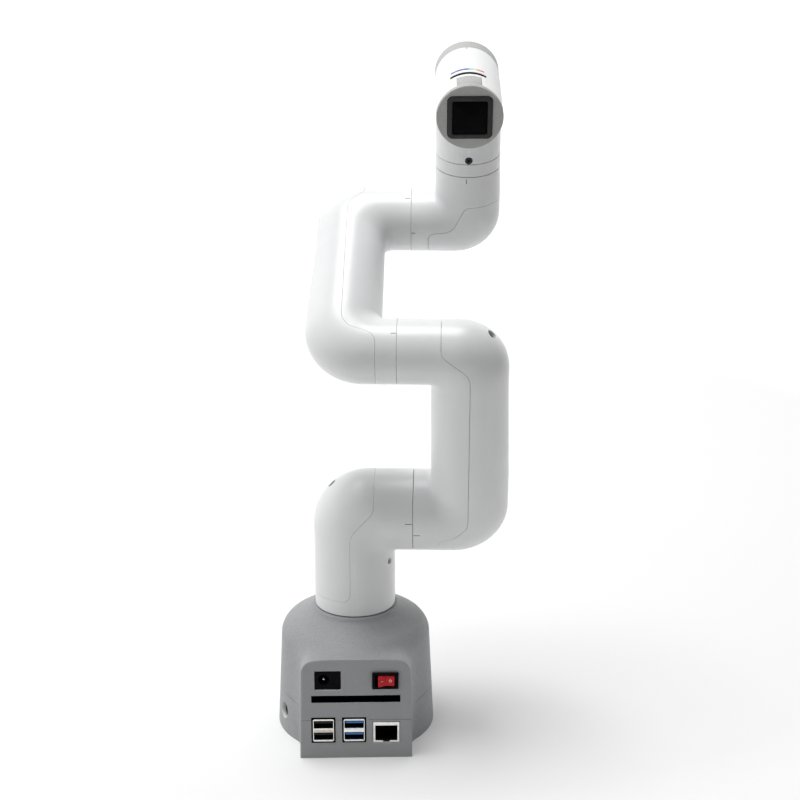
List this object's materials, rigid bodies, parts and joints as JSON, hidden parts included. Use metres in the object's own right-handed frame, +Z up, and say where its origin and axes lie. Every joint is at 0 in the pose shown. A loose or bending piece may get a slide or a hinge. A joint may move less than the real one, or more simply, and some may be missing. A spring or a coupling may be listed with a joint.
{
  "type": "desktop collaborative robot arm",
  "caption": "Desktop robot arm with turning tubular links on a domed base with computer ports, ending in a screen head and a tool flange.",
  "frame": {"origin": "where the first joint's axis meets the base's underside", "axes": "+Z up along the first joint's axis, -Y out of the port face, +X to the right seen from the port side"},
  "size_m": [0.1381, 0.1181, 0.4043],
  "materials": {
    "black_plastic": "satin",
    "board_green": "solder mask",
    "dark_bezel": "matte",
    "grey_base": "fine matte grain",
    "grey_cap": "fine matte grain",
    "horn_alloy": "machined",
    "port_steel": "bright stamped shell",
    "red_rocker": "gloss",
    "screen_black": "gloss",
    "screw_steel": "blackened steel",
    "servo_case": "moulded case",
    "white_shell": "satin"
  },
  "bodies": {
    "base": {"base_floor_plate": "grey_base", "base_lower_tray": "grey_base", "base_upper_housing": "grey_base", "board_screw_1": "screw_steel", "board_screw_2": "screw_steel", "board_screw_3": "screw_steel", "board_screw_4": "screw_steel", "controller_board": "board_green", "dc_jack_pin": "horn_alloy", "dc_power_jack": "black_plastic", "ethernet_jack": "port_steel", "gpio_adapter_board": "board_green", "gpio_header": "black_plastic", "j1_servo": "servo_case", "power_switch_case": "black_plastic", "side_lock_screw": "screw_steel", "usb_2_sockets": "port_steel", "usb_3_sockets": "port_steel"},
    "power_rocker": {"power_rocker": "red_rocker"},
    "shoulder": {"j1_horn": "horn_alloy", "j2_servo": "servo_case", "shoulder_cover": "white_shell", "shoulder_frame": "white_shell", "shoulder_side_screw": "screw_steel", "shoulder_top_screw": "screw_steel"},
    "upper_arm": {"j2_horn": "horn_alloy", "j3_servo": "servo_case", "upper_arm_cover": "white_shell", "upper_arm_frame": "white_shell", "upper_arm_top_screw": "screw_steel"},
    "forearm": {"forearm_cover": "white_shell", "forearm_frame": "white_shell", "j3_horn": "horn_alloy", "j4_servo": "servo_case"},
    "wrist": {"j4_horn": "horn_alloy", "j5_servo": "servo_case", "wrist_cover": "white_shell", "wrist_frame": "white_shell"},
    "head": {"head_collar": "white_shell", "head_controller_board": "board_green", "head_front_cap": "grey_cap", "head_pin_strip": "black_plastic", "head_port_cover": "grey_cap", "head_screw": "screw_steel", "head_shell": "white_shell", "j5_horn": "horn_alloy", "j6_servo": "servo_case", "screen_bezel": "dark_bezel"},
    "screen_button": {"screen_button": "screen_black"},
    "tool_flange": {"j6_horn": "horn_alloy", "tool_flange": "grey_cap"}
  },
  "joints": [
    {"name": "joint_1_base_turn", "type": "hinge", "parent": "base", "child": "shoulder", "pos_m": [0, 0, 0], "axis": [0, 0, 1], "range_deg": [-160, 165]},
    {"name": "joint_2_shoulder", "type": "hinge", "parent": "shoulder", "child": "upper_arm", "pos_m": [0, 0, 0.1368], "axis": [0.9982, -0.0593, 0], "range_deg": [-145, 115]},
    {"name": "joint_3_elbow", "type": "hinge", "parent": "upper_arm", "child": "forearm", "pos_m": [-0.00194, -0.0327, 0.24327], "axis": [-0.9982, 0.0593, 0], "range_deg": [-200, 82]},
    {"name": "joint_4_wrist_bend", "type": "hinge", "parent": "forearm", "child": "wrist", "pos_m": [0.0024, 0.04045, 0.30326], "axis": [0.9982, -0.0593, 0], "range_deg": [-185, 60]},
    {"name": "joint_5_wrist_turn", "type": "hinge", "parent": "wrist", "child": "head", "pos_m": [0.06719, 0.03661, 0.30326], "axis": [-0.0159, -0.2684, 0.9632], "range_deg": [-165, 165]},
    {"name": "joint_6_tool_turn", "type": "hinge", "parent": "head", "child": "tool_flange", "pos_m": [0.06708, 0.04837, 0.38388], "axis": [0.0327, 0.9626, 0.2688], "range_deg": [-175, 175]},
    {"name": "power_rocker_tilt", "type": "hinge", "parent": "base", "child": "power_rocker", "pos_m": [0.0172, -0.0509, 0.0503], "axis": [0, 0, 1], "range_deg": [-18, 0]},
    {"name": "screen_press", "type": "slide", "parent": "head", "child": "screen_button", "axis": [0.0327, 0.9626, 0.2688], "range_m": [0, 0.0005], "stiffness_N_per_m": 800, "springref_m": -0.0005}
  ]
}
